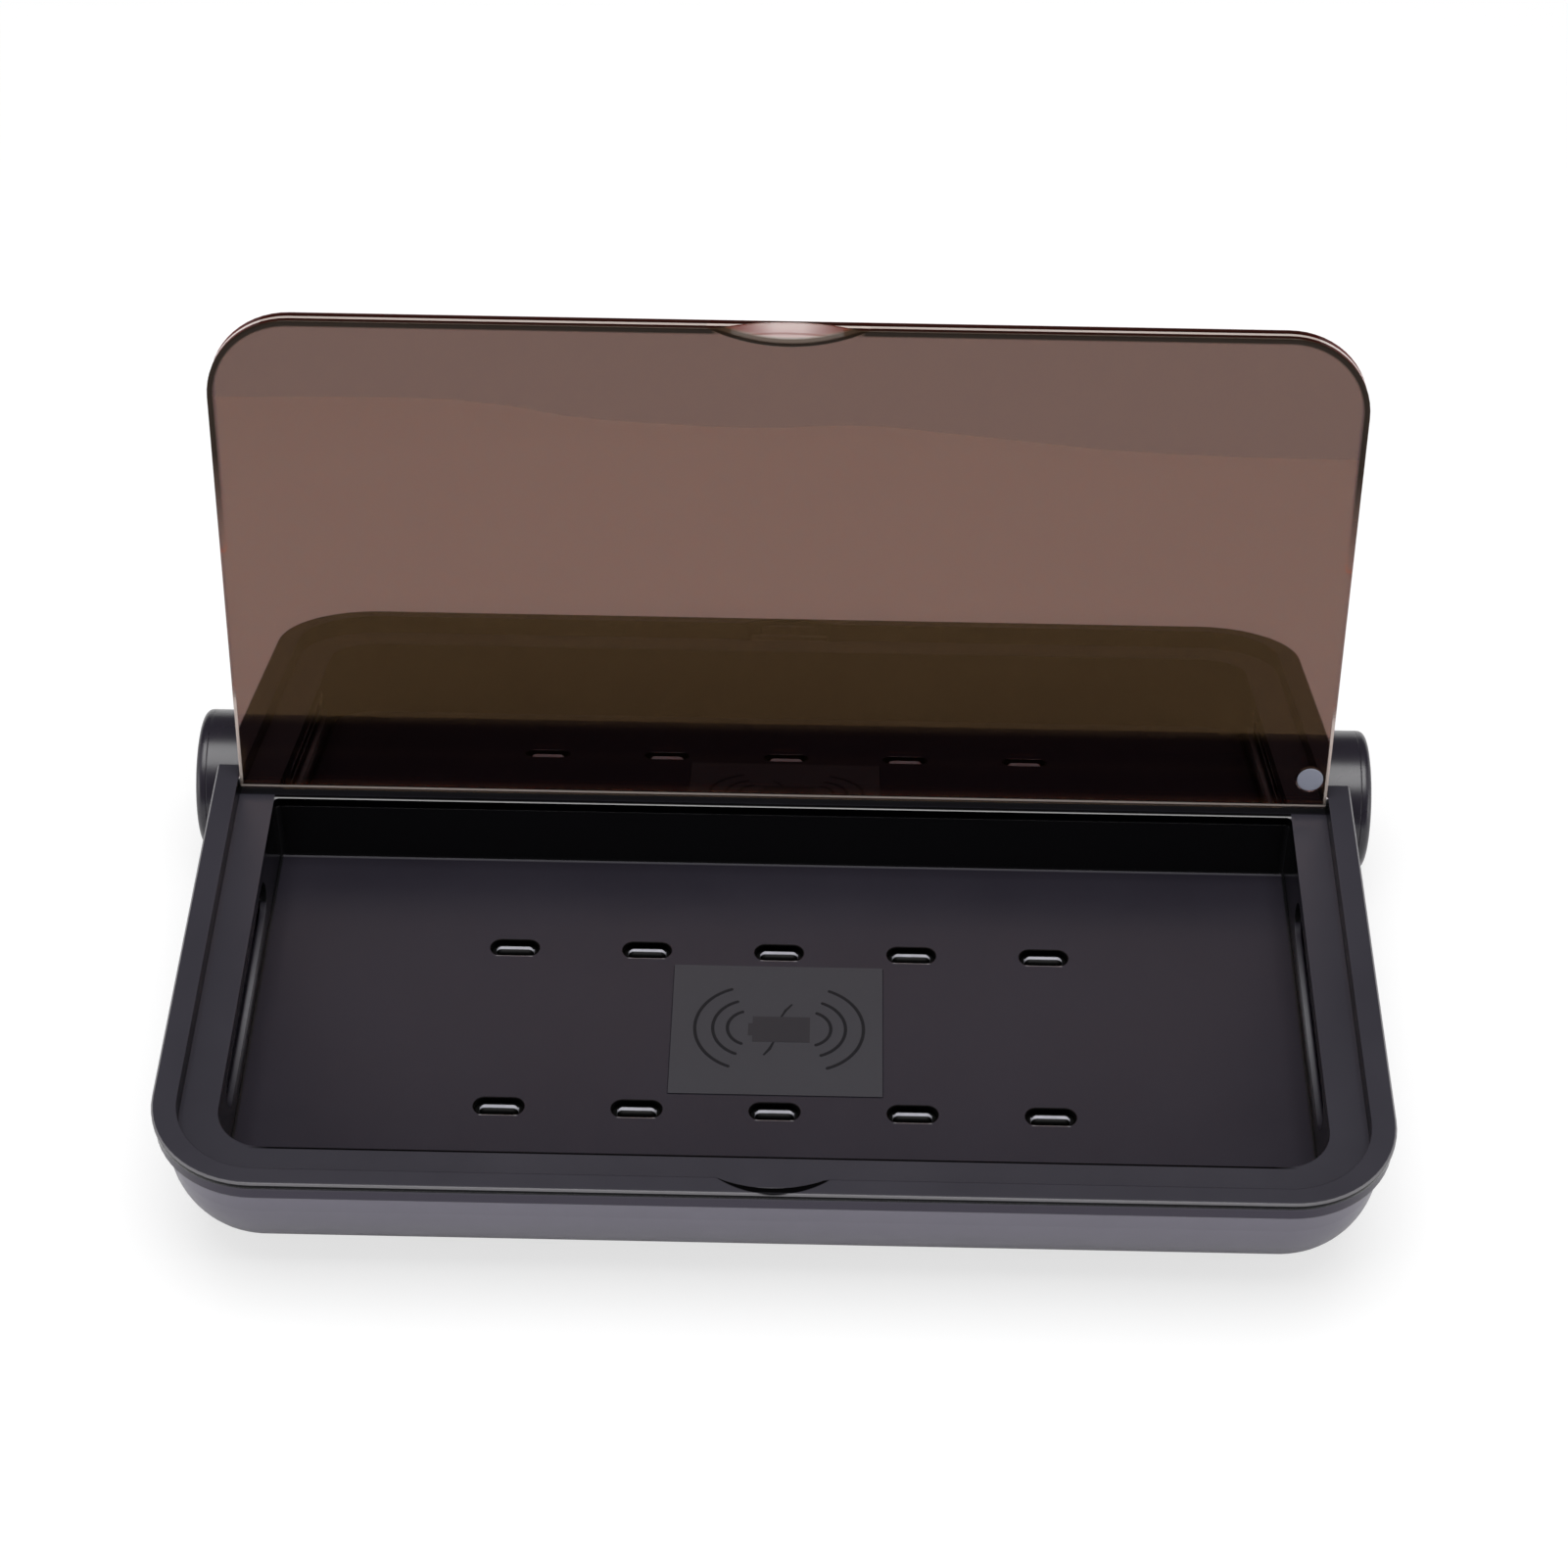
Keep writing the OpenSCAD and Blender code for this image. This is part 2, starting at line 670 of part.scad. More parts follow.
module lamp_holders(s) {
    wall_x = well_w / 2 + tray_wall;
    block_w = lamp_x + lamp_d / 2 + holder_wall / 2 - wall_x;
    block_h = lamp_d + 2 * holder_wall;
    color([0.85, 0.85, 0.82]) for (e = [-1, 1]) difference() {
        translate([s > 0 ? wall_x : -wall_x - block_w,
                   lamp_y + e * (lamp_l + holder_l) / 2 - holder_l / 2 + e * fit_gap,
                   lamp_z - block_h / 2])
            cube([block_w, holder_l, block_h]);
        translate([0, e * (lamp_l + lamp_cap_l) / 2, 0])
            y_cylinder(lamp_d / 2 + press_gap, lamp_y - lamp_cap_l,
                       lamp_y + lamp_cap_l / 2 + fit_gap, s * lamp_x, lamp_z);
    }
}

module reflector(s) {
    color([0.88, 0.88, 0.9]) difference() {
        y_cylinder(reflector_r, lamp_y - lamp_l / 2, lamp_y + lamp_l / 2,
                   s * lamp_x, lamp_z);
        y_cylinder(reflector_r - reflector_t, lamp_y - lamp_l, lamp_y + lamp_l,
                   s * lamp_x, lamp_z);
        translate([s > 0 ? -far + well_w / 2 + tray_wall + fit_gap
                         : -well_w / 2 - tray_wall - fit_gap, -far / 2, 0])
            cube([far, far, far]);
    }
}

module sensor_board() {
    color([0.1, 0.32, 0.2])
        translate([sensor_x, sensor_rear - sensor_d, sensor_top - sensor_chip_h - board_t])
            cube([sensor_w, sensor_d, board_t]);
}

module hall_sensor() {
    color([0.12, 0.12, 0.13])
        translate([max(magnet_x - sensor_chip / 2, sensor_x),
                   pivot_y + magnet_u - sensor_chip / 2, sensor_top - sensor_chip_h])
            cube([sensor_chip, sensor_chip, sensor_chip_h]);
}

module barrel_tube() {
    color([0.27, 0.26, 0.29]) difference() {
        union() {
            difference() {
                union() {
                    x_cylinder(barrel_r, -tube_l / 2, tube_l / 2, barrel_y, barrel_z);
                    // Pads that meet the shell's rear wall at the screws
                    for (s = [-1, 1])
                        y_cylinder(boss_d / 2, rear_y, barrel_y, s * barrel_screw_x / 2,
                                   screw_run_z);
                }
                x_cylinder(bore_r, -far / 2, far / 2, barrel_y, barrel_z);
            }
            // Bosses inside for the screws
            intersection() {
                for (s = [-1, 1])
                    y_cylinder(boss_d / 2, rear_y, rear_y + boss_reach,
                               s * barrel_screw_x / 2, screw_run_z);
                x_cylinder(barrel_r, -far / 2, far / 2, barrel_y, barrel_z);
            }
            // Rails under the main board
            intersection() {
                for (s = [-1, 1])
                    translate([-main_board_l / 2,
                               barrel_y + (s > 0 ? board_half - rail_w : -barrel_r),
                               board_low_z - rail_t])
                        cube([main_board_l, barrel_r - board_half + rail_w, rail_t]);
                x_cylinder(barrel_r - barrel_wall / 2, -far / 2, far / 2, barrel_y, barrel_z);
            }
        }
        for (s = [-1, 1])
            y_cylinder(thread_d / 2, rear_y - over, rear_y + boss_reach - tip_gap,
                       s * barrel_screw_x / 2, screw_run_z);
        // Flat and opening for the charging socket
        translate([-usb_w / 2 - port_rim, port_y, barrel_z - usb_h / 2 - port_rim])
            cube([usb_w + 2 * port_rim, barrel_r, usb_h + 2 * port_rim]);
        translate([0, barrel_y, barrel_z]) rotate([-90, 0, 0])
            stadium(usb_w + 2 * port_margin, usb_h + 2 * port_margin, barrel_r + over);
    }
}

// An end cap standing on z = 0 with its rounded face up
module end_cap() {
    rotate_extrude() {
        intersection() {
            square([barrel_r, cap_t]);
            union() {
                square([barrel_r - cap_round, cap_t]);
                square([barrel_r, cap_t - cap_round]);
                translate([barrel_r - cap_round, cap_t - cap_round]) circle(r = cap_round);
            }
        }
        translate([bore_r - barrel_wall, -cap_spigot])
            square([barrel_wall - press_gap, cap_spigot + eps]);
    }
}

module barrel_cap_left() {
    color([0.27, 0.26, 0.29]) translate([-tube_l / 2, barrel_y, barrel_z])
        rotate([0, -90, 0]) end_cap();
}

module barrel_cap_right() {
    color([0.27, 0.26, 0.29]) difference() {
        translate([tube_l / 2, barrel_y, barrel_z]) rotate([0, 90, 0]) end_cap();
        x_cylinder(button_d / 2 + button_gap, 0, far / 2, barrel_y, barrel_z);
    }
}

module power_button() {
    color([0.36, 0.35, 0.38]) {
        x_cylinder(button_d / 2, flange_x - button_flange_t, barrel_l / 2, barrel_y, barrel_z);
        x_cylinder(button_d / 2 + button_flange_out, flange_x - button_flange_t, flange_x,
                   barrel_y, barrel_z);
    }
}

// Switch behind the button, on its bracket inside the end cap's spigot
module tact_switch() {
    color([0.16, 0.16, 0.17]) {
        x_cylinder(switch_tip_r, switch_x - switch_tip_l, switch_x, barrel_y, barrel_z);
        translate([switch_body_x, barrel_y - switch_h / 2, barrel_z - switch_h / 2])
            cube([switch_l + eps, switch_h, switch_h]);
        intersection() {
            translate([switch_body_x - bracket_t, barrel_y - barrel_r, barrel_z - switch_h / 2])
                cube([bracket_t + eps, barrel_d, switch_h]);
            x_cylinder(bore_r - fit_gap, 0, far / 2, barrel_y, barrel_z);
        }
    }
}

module main_board() {
    color([0.1, 0.32, 0.2])
        translate([-main_board_l / 2, barrel_y - board_half, board_low_z])
            cube([main_board_l, 2 * board_half, board_t]);
}

// Transformer for the lamps: a bobbin with its core round the middle
module lamp_driver() {
    color([0.75, 0.62, 0.2]) translate([driver_x, barrel_y - driver_w / 2, board_top_z])
        cube([driver_l, driver_w, driver_h]);
    color([0.15, 0.15, 0.16])
        translate([driver_x + (driver_l - core_l) / 2, barrel_y - core_w / 2, board_top_z])
            cube([core_l, core_w, core_h]);
}

// Controller, regulator and two pairs of capacitors
module board_parts() {
    color([0.12, 0.12, 0.13]) {
        for (chip = [[controller_x, controller_w], [regulator_x, regulator_w]])
            translate([chip[0] - chip[1] / 2, barrel_y - chip[1] / 2, board_top_z])
                cube([chip[1], chip[1], package_h]);
        for (x = [-board_end + capacitor_in, driver_x - capacitor_in])
            for (i = [0, 1]) translate([x + i * capacitor_pitch, barrel_y, board_top_z])
                cylinder(d = capacitor_d, h = capacitor_h);
    }
}

// Standard USB-C receptacle: a thin metal shell and its tongue
module usb_shell() {
    color([0.78, 0.78, 0.8]) translate([0, port_y, barrel_z]) rotate([90, 0, 0]) difference() {
        stadium(usb_w, usb_h, usb_l);
        translate([0, 0, -over])
            stadium(usb_w - 2 * usb_wall, usb_h - 2 * usb_wall, usb_l - usb_wall + over);
    }
}

module usb_tongue() {
    color([0.1, 0.1, 0.11])
        translate([-tongue_w / 2, port_y - usb_l + usb_wall, barrel_z - tongue_t / 2])
            cube([tongue_w, usb_l - usb_wall - tongue_back, tongue_t]);
}

// A screw standing head down on z = 0
module screw(l) {
    difference() {
        cylinder(d = screw_head_d, h = screw_head_h);
        for (a = [0, 90]) rotate([0, 0, a])
            translate([-cross_l / 2, -cross_w / 2, -over])
                cube([cross_l, cross_w, over + cross_depth]);
    }
    translate([0, 0, screw_head_h - eps]) cylinder(d = thread_d, h = l + eps);
}

module base_screws() {
    color([0.6, 0.6, 0.62]) at_base_screws(shell_z + fit_gap)
        screw(tray_z - tip_gap - shell_z - fit_gap - screw_head_h);
}

module barrel_screws() {
    color([0.6, 0.6, 0.62]) for (s = [-1, 1])
        translate([s * barrel_screw_x / 2, front_y + shell_rear_in - screw_head_h, screw_run_z])
            rotate([-90, 0, 0]) screw(rear_wall + boss_reach - 2 * tip_gap);
}

module foot(sx, u) {
    color([0.08, 0.08, 0.09]) translate([sx * foot_x / 2, front_y + u, 0]) rotate_extrude() {
        square([foot_d / 2 - press_gap, foot_h + foot_seat - foot_bevel]);
        square([foot_d / 2 - foot_bevel, foot_h + foot_seat]);
    }
}

// Turns its children from the closed position to the open one
module open_lid() {
    translate([0, pivot_y, pivot_z]) rotate([lid_turn, 0, 0]) children();
}

module lid_panel() {
    corner = recess_r - lid_gap;
    color([0.42, 0.3, 0.22, 0.75]) open_lid() difference() {
        union() {
            translate([0, 0, -lid_t / 2]) linear_extrude(lid_t) {
                for (s = [-1, 1])
                    translate([s * (lid_w / 2 - corner), -lid_l + corner]) circle(r = corner);
                translate([-lid_w / 2, -lid_l + corner]) square([lid_w, lid_l - corner]);
                translate([-lid_w / 2 + corner, -lid_l]) square([lid_w - 2 * corner, corner]);
            }
            x_cylinder(lid_t / 2, -lid_w / 2, lid_w / 2, 0, 0);
        }
        // Thumb scoop under the front edge
        translate([0, -lid_l, lid_t / 2 - scoop_land]) rotate([90 - scoop_slope, 0, 0])
            translate([0, -scoop_r, 0])
                cylinder(r = scoop_r, h = 4 * lid_t, center = true, $fn = 240);
        for (s = [0, 1]) mirror([s, 0, 0])
            x_cylinder(pin_d / 2 + pin_run, lid_w / 2 - pin_in_lid, lid_w, 0, 0);
        translate([magnet_x, magnet_u, -lid_t / 2 - over])
            cylinder(d = magnet_d + 2 * press_gap, h = over + magnet_t + press_gap);
    }
}

module lid_magnet() {
    color([0.6, 0.61, 0.65]) open_lid()
        translate([magnet_x, magnet_u, -lid_t / 2]) cylinder(d = magnet_d, h = magnet_t);
}

module hinge_pin(s) {
    color([0.7, 0.7, 0.72]) mirror([s > 0 ? 0 : 1, 0, 0])
        x_cylinder(pin_d / 2, lid_w / 2 - pin_in_lid + fit_gap, recess_w / 2 + pin_in_rim,
                   pivot_y, pivot_z);
}

lower_shell();
top_frame();
tray();
charge_pad();
light_bars();
led_strips();
led_chips();
charge_coil();
ferrite_sheet();
charger_board();
uv_lamp(-1);  // uv_lamp_left
uv_lamp(1);  // uv_lamp_right
lamp_caps(-1);  // lamp_caps_left
lamp_caps(1);  // lamp_caps_right
lamp_holders(-1);  // lamp_holders_left
lamp_holders(1);  // lamp_holders_right
reflector(-1);  // reflector_left
reflector(1);  // reflector_right
sensor_board();
hall_sensor();
barrel_tube();
barrel_cap_left();
barrel_cap_right();
power_button();
tact_switch();
main_board();
lamp_driver();
board_parts();
usb_shell();
usb_tongue();
base_screws();
barrel_screws();
foot(-1, foot_front);  // foot_front_left
foot(1, foot_front);  // foot_front_right
foot(-1, foot_front + foot_y);  // foot_rear_left
foot(1, foot_front + foot_y);  // foot_rear_right
lid_panel();
lid_magnet();
hinge_pin(-1);  // hinge_pin_left
hinge_pin(1);  // hinge_pin_right
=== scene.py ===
"""Looks of a phone sanitizer box: satin plastic tray, tinted lid, barrel and charging pad."""

import math

import bpy
import bmesh
from mathutils import Matrix, Vector


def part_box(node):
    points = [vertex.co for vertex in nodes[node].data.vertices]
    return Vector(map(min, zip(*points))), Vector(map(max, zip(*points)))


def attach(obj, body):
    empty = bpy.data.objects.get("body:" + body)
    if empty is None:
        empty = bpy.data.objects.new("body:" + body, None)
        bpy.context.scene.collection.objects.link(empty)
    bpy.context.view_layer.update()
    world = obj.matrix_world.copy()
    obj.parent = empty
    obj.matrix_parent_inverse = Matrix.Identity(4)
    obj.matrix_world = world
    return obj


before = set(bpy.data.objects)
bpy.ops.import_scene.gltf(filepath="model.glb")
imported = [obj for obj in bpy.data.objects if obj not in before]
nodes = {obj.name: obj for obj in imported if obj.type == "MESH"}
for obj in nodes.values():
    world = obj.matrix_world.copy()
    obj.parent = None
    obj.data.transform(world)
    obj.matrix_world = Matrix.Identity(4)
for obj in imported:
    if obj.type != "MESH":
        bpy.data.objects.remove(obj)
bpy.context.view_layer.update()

# ---------------------------------------------------------------- places, in metres
UP = Vector((0, 0, 1))
BACK = Vector((0, 1, 0))
RIGHT = Vector((1, 0, 0))
EVER = 2.0                  # stands for the open end of a range
HAIR = 0.0001               # half the width of a sharp border between two looks
LINE = 0.0004               # width of the fine lines of painted highlight and painted shade

rim_lo, rim_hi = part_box("top_frame")
pad_lo, pad_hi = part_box("charge_pad")
lid_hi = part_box("lid_panel")[1]
pin_lo, pin_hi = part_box("hinge_pin_left")

FRONT_Y = rim_lo.y
RIM_Z = rim_hi.z
BEVEL_LOW = RIM_Z - 0.0006  # foot of the bevel on the rim's edge
BAND_Z = RIM_Z - 0.0015     # top of the band under the rim
BAND_H = 0.0025
LEDGE_LOW = 0.0259          # just under the ledge for the lid

WELL_FRONT = FRONT_Y + 0.0114
WELL_REAR = FRONT_Y + 0.0973
WELL_HALF = 0.0964
WELL_CORNER = 0.008         # the well's front edge goes round the corner here
FLOOR_Z = 0.0111
SILL_Z = 0.017              # lower edge of the lamp windows
SILL_HIGHLIGHT = (-0.024, 0.004)  # the part of the walls under them with a painted highlight, from front to rear

SLOT_COUNT, SLOT_PITCH = 5, 0.0248      # the light slots in one row
SLOT_ROWS, SLOT_MID_Y = 0.0392, -0.0092725      # distance of the two rows, and their middle
SLOT_HALF, SLOT_R = 0.0025, 0.00195     # half the straight part of a slot, and its radius
SLOT_SHADE = 0.00025
LIP_HALF = 0.0034                       # half the length of the painted highlight line on a slot's lip
BAR_LOW, BAR_HIGH = -0.0002, 0.0011     # the painted highlight strip on a light bar, across the slot
BAR_HALF = 0.0035

NOTCH_MID, NOTCH_R = Vector((0.00034, FRONT_Y + 0.01534, 0)), 0.01524
NOTCH_REACH = FRONT_Y + 0.0034          # rear end of the border in which the notch lies

LEAN = math.radians(11.1)
hinge = Vector((0, (pin_lo.y + pin_hi.y) / 2, (pin_lo.z + pin_hi.z) / 2))
LID_UP = Vector((0, math.sin(LEAN), math.cos(LEAN)))      # from the hinge to the free edge
LID_OUT = Vector((0, math.cos(LEAN), -math.sin(LEAN)))    # towards the lid's outside
LID_TOP = max(LID_UP.dot(v.co - hinge) for v in nodes["lid_panel"].data.vertices)
LID_R = 0.0152                          # the lid's corner radius
SCOOP_MID, SCOOP_R = 0.126, 0.0322      # the circle of the thumb scoop's border on the lid
SCOOP_HALF = 0.0125                     # half the scoop's width at the free edge
SCOOP_LIT, SCOOP_FADE = 0.008, 0.0055   # half the width of its painted sheen, and of each soft end
SEAM = (0.09495, 0.0952)                # heights of the faint dimmer line across that sheen
EDGE_LINE = (-0.00065, 0.00025)         # depths of the painted highlight line on the lid's edge
EDGE_FOOT = 0.004                       # height at which that line starts
SIDE_LINE, SIDE_TOP = 0.0006, 0.02      # width of the painted highlight lines up its sides, and their end
FOOT_LINE = 0.0005                      # width of the painted highlight line along its foot
INNER_DEPTH = -0.0013                   # the lid's inner face lies beyond this depth
OUTLINE, OUTLINE_FOOT = 0.0011, 0.06    # width of the painted dark outline of shade, and where it starts

EDGE_ROUND = 0.00035        # edges that are rounded for the light only
LID_ROUND = 0.0006


# ---------------------------------------------------------------- node helpers
def material(name):
    m = bpy.data.materials.new(name)
    m.use_nodes = True
    tree = m.node_tree
    return m, tree, tree.nodes["Principled BSDF"]


def noise(tree, scale, detail=2.0, rough=0.5):
    coords = tree.nodes.new("ShaderNodeTexCoord")
    n = tree.nodes.new("ShaderNodeTexNoise")
    n.inputs["Scale"].default_value = scale
    n.inputs["Detail"].default_value = detail
    n.inputs["Roughness"].default_value = rough
    tree.links.new(coords.outputs["Object"], n.inputs["Vector"])
    return n.outputs["Fac"]


def calc(tree, operation, a, b=None):
    """One sum on two sockets or numbers."""
    n = tree.nodes.new("ShaderNodeMath")
    n.operation = operation
    for socket, value in zip(n.inputs, (a, b)):
        if isinstance(value, (int, float)):
            socket.default_value = value
        elif value is not None:
            tree.links.new(value, socket)
    return n.outputs[0]


def chain(tree, operation, values):
    out = values[0]
    for value in values[1:]:
        out = calc(tree, operation, out, value)
    return out


def times(tree, *masks):
    """All masks at once."""
    return chain(tree, "MULTIPLY", masks)


def either(tree, *masks):
    """Any of the masks."""
    return chain(tree, "MAXIMUM", masks)


def flip(tree, mask):
    """1 where mask is 0."""
    return calc(tree, "SUBTRACT", 1.0, mask)


def past(tree, value, limit):
    """How far value is beyond limit, or 0 before it."""
    return calc(tree, "MAXIMUM", calc(tree, "SUBTRACT", value, limit), 0.0)


def length(tree, a, b):
    """Distance from the middle, from two coordinates."""
    return calc(tree, "SQRT", calc(tree, "ADD", times(tree, a, a), times(tree, b, b)))


def along(tree, direction, origin=Vector(), output="Object"):
    """Distance of a point of the surface from origin along a direction of the object."""
    coords = tree.nodes.new("ShaderNodeTexCoord")
    dot = tree.nodes.new("ShaderNodeVectorMath")
    dot.operation = "DOT_PRODUCT"
    tree.links.new(coords.outputs[output], dot.inputs[0])
    dot.inputs[1].default_value = direction
    return calc(tree, "SUBTRACT", dot.outputs["Value"], origin.dot(direction))


def slope(tree, direction):
    """How much the surface faces a direction of the object, from -1 to 1."""
    return along(tree, direction, output="Normal")


def away(tree, direction):
    """Distance from the middle plane along a direction."""
    return calc(tree, "ABSOLUTE", along(tree, direction))


def between(tree, value, low, high, soft=HAIR):
    """1 where value lies between low and high, with soft borders."""
    up = tree.nodes.new("ShaderNodeMapRange")
    down = tree.nodes.new("ShaderNodeMapRange")
    for n, start, end in ((up, low - soft, low + soft), (down, high + soft, high - soft)):
        n.inputs["From Min"].default_value = start
        n.inputs["From Max"].default_value = end
        tree.links.new(value, n.inputs["Value"])
    return times(tree, up.outputs["Result"], down.outputs["Result"])


def under(tree, value, limit, soft=HAIR):
    return between(tree, value, -EVER, limit, soft)


def over(tree, value, limit, soft=HAIR):
    return between(tree, value, limit, EVER, soft)


def mixed(tree, mask, a, b):
    """Colour a where mask is 0 and b where it is 1; each is a socket or a colour."""
    n = tree.nodes.new("ShaderNodeMix")
    n.data_type = "RGBA"
    tree.links.new(mask, n.inputs["Factor"])
    for socket, value in ((n.inputs[6], a), (n.inputs[7], b)):
        if isinstance(value, tuple):
            socket.default_value = (*value, 1)
        else:
            tree.links.new(value, socket)
    return n.outputs[2]


def ramp(tree, source, stops):
    r = tree.nodes.new("ShaderNodeValToRGB")
    while len(r.color_ramp.elements) < len(stops):
        r.color_ramp.elements.new(0.5)
    for e, (pos, value) in zip(r.color_ramp.elements, stops):
        e.position = pos
        e.color = (*value, 1)
    tree.links.new(source, r.inputs["Fac"])
    return r.outputs["Color"]


def rounding(tree, radius):
    """The surface's direction, with its edges rounded for the light."""
    n = tree.nodes.new("ShaderNodeBevel")
    n.samples = 6
    n.inputs["Radius"].default_value = radius
    return n.outputs["Normal"]


def bump(tree, bsdf, source, strength, distance, rounded=0.0):
    """Fine relief, over edges that are rounded for the light."""
    b = tree.nodes.new("ShaderNodeBump")
    b.inputs["Strength"].default_value = strength
    b.inputs["Distance"].default_value = distance
    tree.links.new(source, b.inputs["Height"])
    if rounded:
        tree.links.new(rounding(tree, rounded), b.inputs["Normal"])
    tree.links.new(b.outputs["Normal"], bsdf.inputs["Normal"])


# ---------------------------------------------------------------- kinds of material
CLOUD_SCALE, GRAIN_SCALE, GRAIN_DEPTH = 35.0, 3800.0, 0.00005
SCRATCH_SCALE, SCRATCH_DEPTH = 900.0, 0.00004


def moulded(name, colour, rough, grain, spread=0.06, specular=0.5, rounded=0.0):
    """Moulded plastic: a spark-eroded grain, a faint cloud of colour and of gloss."""
    m, tree, bsdf = material(name)
    cloud = noise(tree, CLOUD_SCALE, 4.0, 0.6)
    dark = tuple(c * (1 - spread) for c in colour)
    light = tuple(c * (1 + spread) for c in colour)
    tint = ramp(tree, cloud, [(0.3, dark), (0.7, light)])
    tree.links.new(tint, bsdf.inputs["Base Color"])
    gloss = ramp(tree, cloud, [(0.25, (rough - 0.03,) * 3), (0.75, (rough + 0.04,) * 3)])
    tree.links.new(gloss, bsdf.inputs["Roughness"])
    bsdf.inputs["Specular IOR Level"].default_value = specular
    bump(tree, bsdf, noise(tree, GRAIN_SCALE, 3.0, 0.6), grain, GRAIN_DEPTH, rounded)
    return m


def metal(name, colour, rough):
    """Drawn metal with fine scratches."""
    m, tree, bsdf = material(name)
    bsdf.inputs["Metallic"].default_value = 1.0
    n = noise(tree, SCRATCH_SCALE)
    tint = ramp(tree, n, [(0.3, tuple(c * 0.92 for c in colour)), (0.7, colour)])
    tree.links.new(tint, bsdf.inputs["Base Color"])
    gloss = ramp(tree, n, [(0.3, (rough,) * 3), (0.7, (rough + 0.08,) * 3)])
    tree.links.new(gloss, bsdf.inputs["Roughness"])
    bump(tree, bsdf, n, 0.08, SCRATCH_DEPTH)
    return m


def paint_light_and_shade(m, mask, colour, rough, dark_metal=False):
    """Paints light or shade on part of a moulded material with another colour and gloss; with
    dark_metal the colour is drawn as a dark metal, which takes out the gloss.
    """
    tree, bsdf = m.node_tree, m.node_tree.nodes["Principled BSDF"]
    for name, value in (("Base Color", colour), ("Roughness", (rough,) * 3)):
        socket = bsdf.inputs[name]
        before = socket.links[0].from_socket
        tree.links.new(mixed(tree, mask, before, value), socket)
    if dark_metal:
        socket = bsdf.inputs["Metallic"]
        before = socket.links[0].from_socket if socket.links else 0.0
        tree.links.new(either(tree, mask, before), socket)


# name, colour, roughness, grain, spread of the colour, specular level, rounded edges
shell_mat = moulded("satin_shell", (0.175, 0.163, 0.21), 0.3, 0.12, 0.06, 0.45, EDGE_ROUND)
barrel_mat = moulded("satin_barrel", (0.0165, 0.0135, 0.022), 0.27, 0.1, 0.06, 0.6, EDGE_ROUND)
frame_mat = moulded("satin_frame", (0.0285, 0.0267, 0.0355), 0.34, 0.2, 0.06, 0.35, EDGE_ROUND)
tray_mat = moulded("satin_tray", (0.0165, 0.0143, 0.0212), 0.38, 0.25, 0.06, 0.22, EDGE_ROUND)
pad_mat = moulded("pad", (0.031, 0.03, 0.036), 0.5, 0.3, 0.05, 0.3)
mark_mat = moulded("pad_mark", (0.006, 0.006, 0.008), 0.5, 0.1, 0.05, 0.15)
cell_mat = moulded("pad_cell", (0.013, 0.012, 0.016), 0.5, 0.1, 0.05, 0.3)
button_mat = moulded("button", (0.07, 0.068, 0.075), 0.38, 0.15, 0.06, 0.5, EDGE_ROUND)
rubber_mat = moulded("rubber", (0.018, 0.018, 0.019), 0.75, 0.5)
board_mat = moulded("board", (0.012, 0.1, 0.04), 0.4, 0.1)
chip_mat = moulded("chip", (0.015, 0.015, 0.016), 0.55, 0.2)
led_mat = moulded("led", (0.8, 0.72, 0.4), 0.3, 0.05)
ceramic_mat = moulded("ceramic", (0.7, 0.69, 0.65), 0.55, 0.2)
# The nickel disc is drawn as a light grey non-metal: its colour is a painted reflection in place of
# a metal's gloss
magnet_reflection_mat = moulded("nickel", (0.3, 0.315, 0.39), 0.3, 0.06, 0.03, 0.8, EDGE_ROUND)
steel_mat = metal("steel", (0.62, 0.62, 0.64), 0.28)
mirror_mat = metal("reflector", (0.8, 0.8, 0.82), 0.16)
copper_mat = metal("copper", (0.75, 0.4, 0.2), 0.35)

SHADE_BLACK = (0.006, 0.006, 0.007)    # black for painted shade, drawn as a dark metal


# ---------------------------------------------------------------- tray
# The walls are painted nearly black as shade in the well, with a polished gloss. The satin floor
# has a painted highlight line along the rear wall and a painted shade line along the sides, and a
# soft painted highlight runs under each lamp window
tree = tray_mat.node_tree
paint_light_and_shade(tray_mat, under(tree, slope(tree, UP), 0.7, 0.05), (0.0045, 0.0045, 0.005), 0.12)
on_floor = between(tree, along(tree, UP), 0.0, FLOOR_Z + 0.0003)
rear_crease_highlight = between(tree, along(tree, BACK), WELL_REAR - HAIR - LINE, WELL_REAR - HAIR)
paint_light_and_shade(tray_mat, times(tree, on_floor, rear_crease_highlight), (0.07, 0.067, 0.078), 0.3)
side_crease_shade = over(tree, away(tree, RIGHT), WELL_HALF - LINE)
paint_light_and_shade(tray_mat, times(tree, on_floor, side_crease_shade), SHADE_BLACK, 0.3)
sill_highlight = times(tree, between(tree, away(tree, RIGHT), WELL_HALF - 0.0015, WELL_HALF + 0.0008, 0.0002),
             between(tree, along(tree, UP), SILL_Z - 0.0028, SILL_Z - 0.0004, 0.0007),
             between(tree, along(tree, BACK), *SILL_HIGHLIGHT, 0.011))
paint_light_and_shade(tray_mat, sill_highlight, (0.2, 0.2, 0.215), 0.25)


def from_slot(tree):
    """Place of a point from the middle of the nearest slot, along and across it."""
    # The whole pitches keep the remainder above 0, and the half puts a slot in its middle
    shifted = calc(tree, "ADD", along(tree, RIGHT), SLOT_PITCH * 10.5)
    across = calc(tree, "SUBTRACT", calc(tree, "MODULO", shifted, SLOT_PITCH), SLOT_PITCH / 2)
    y = calc(tree, "SUBTRACT", along(tree, BACK), SLOT_MID_Y)
    row = times(tree, calc(tree, "SIGN", y), SLOT_ROWS / 2)
    return calc(tree, "ABSOLUTE", across), calc(tree, "SUBTRACT", y, row)
